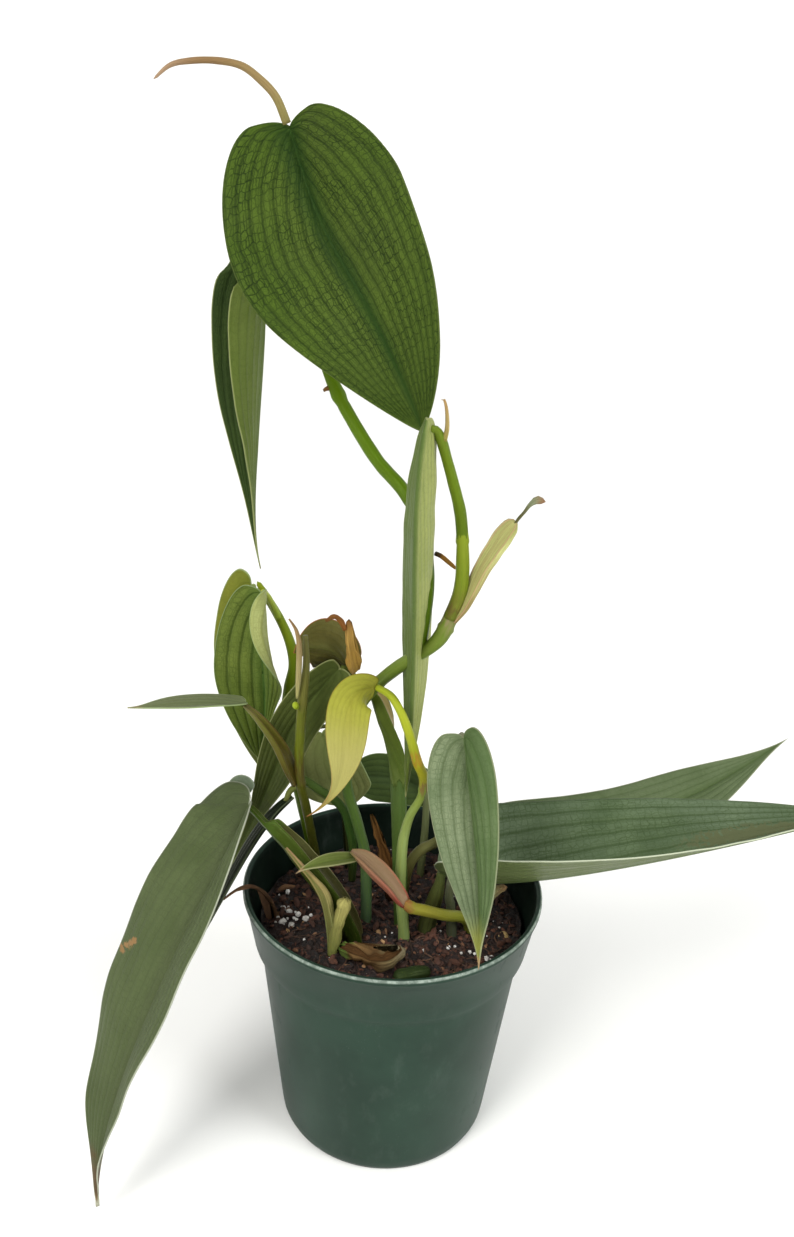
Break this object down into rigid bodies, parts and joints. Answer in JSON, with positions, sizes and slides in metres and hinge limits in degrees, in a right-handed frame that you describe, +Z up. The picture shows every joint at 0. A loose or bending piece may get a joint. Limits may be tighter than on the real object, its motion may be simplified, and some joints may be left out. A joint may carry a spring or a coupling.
{
  "type": "potted philodendron",
  "caption": "Climbing aroid with heart-shaped and long hanging leaves on arching stalks, in a tapered round nursery pot filled with bark mix.",
  "frame": {"origin": "centre of the pot's underside, on the surface it stands on", "axes": "+Z up through the pot's middle, -Y towards the side the leaves face, +X towards the long right leaf"},
  "size_m": [0.2744, 0.1343, 0.387],
  "materials": {
    "bark": "rough, dry",
    "dry_brown": "matte, dry",
    "dry_sheath": "matte, dry",
    "leaf_dark": "matte leaf in shade",
    "leaf_green": "satin living leaf",
    "leaf_grey": "matte grey-green leaf",
    "leaf_olive": "matte leaf underside",
    "leaf_pale": "matte leaf underside",
    "leaf_silver": "satin silvery leaf",
    "leaf_yellow": "satin yellowing leaf",
    "pot_plastic": "satin dark green",
    "potting_mix": "rough, damp",
    "stem_green": "satin stalk",
    "stem_grey": "matte stalk",
    "stem_olive": "satin stalk",
    "stem_pink": "matte stalk",
    "stem_yellow": "satin stalk"
  },
  "bodies": {
    "root": {"pot": "pot_plastic", "soil": "potting_mix", "top_leaf": "leaf_green", "folded_leaf": "leaf_pale", "rear_hanging_leaf": "leaf_green", "yellow_leaf": "leaf_yellow", "dark_rear_leaf": "leaf_dark", "striped_leaf": "leaf_green", "pale_rear_leaf": "leaf_yellow", "edge_on_leaf": "leaf_grey", "curled_olive_leaf": "leaf_olive", "long_left_leaf": "leaf_grey", "dark_left_leaf": "leaf_dark", "small_leaf": "leaf_green", "silver_leaf": "leaf_silver", "long_right_leaf": "leaf_grey", "rear_right_leaf": "leaf_grey", "low_rear_leaf": "leaf_dark", "low_middle_leaf": "leaf_olive", "top_shoot": "dry_sheath", "upper_stem": "stem_green", "rear_petiole": "stem_green", "folded_leaf_petiole": "stem_green", "middle_stem": "stem_green", "node_sheath": "dry_sheath", "sheath_tip": "dry_sheath", "yellow_leaf_petiole": "stem_yellow", "left_group_petiole": "stem_green", "dry_shoot": "dry_sheath", "rear_stalk": "stem_olive", "left_node_sheath": "stem_olive", "left_petiole_base": "stem_green", "dry_pale_sheath": "dry_sheath", "small_leaf_stem": "stem_pink", "grey_stalk": "stem_grey", "right_leaf_petiole": "stem_olive", "dry_sheath_stub": "dry_brown", "aerial_root": "dry_brown", "brown_dry_stalk": "dry_brown", "silver_leaf_petiole": "stem_olive", "right_stub": "dry_sheath", "side_root": "dry_brown", "dry_curled_leaf": "dry_brown", "lying_stem": "stem_green", "dry_strip": "dry_brown", "bark_chip": "bark", "brown_ligule": "dry_brown", "striped_leaf_petiole": "stem_green", "dark_rear_petiole": "stem_olive", "low_rear_petiole": "stem_olive", "low_middle_petiole": "stem_olive", "rear_right_petiole": "stem_olive", "dark_left_petiole": "stem_olive"}
  },
  "joints": []
}
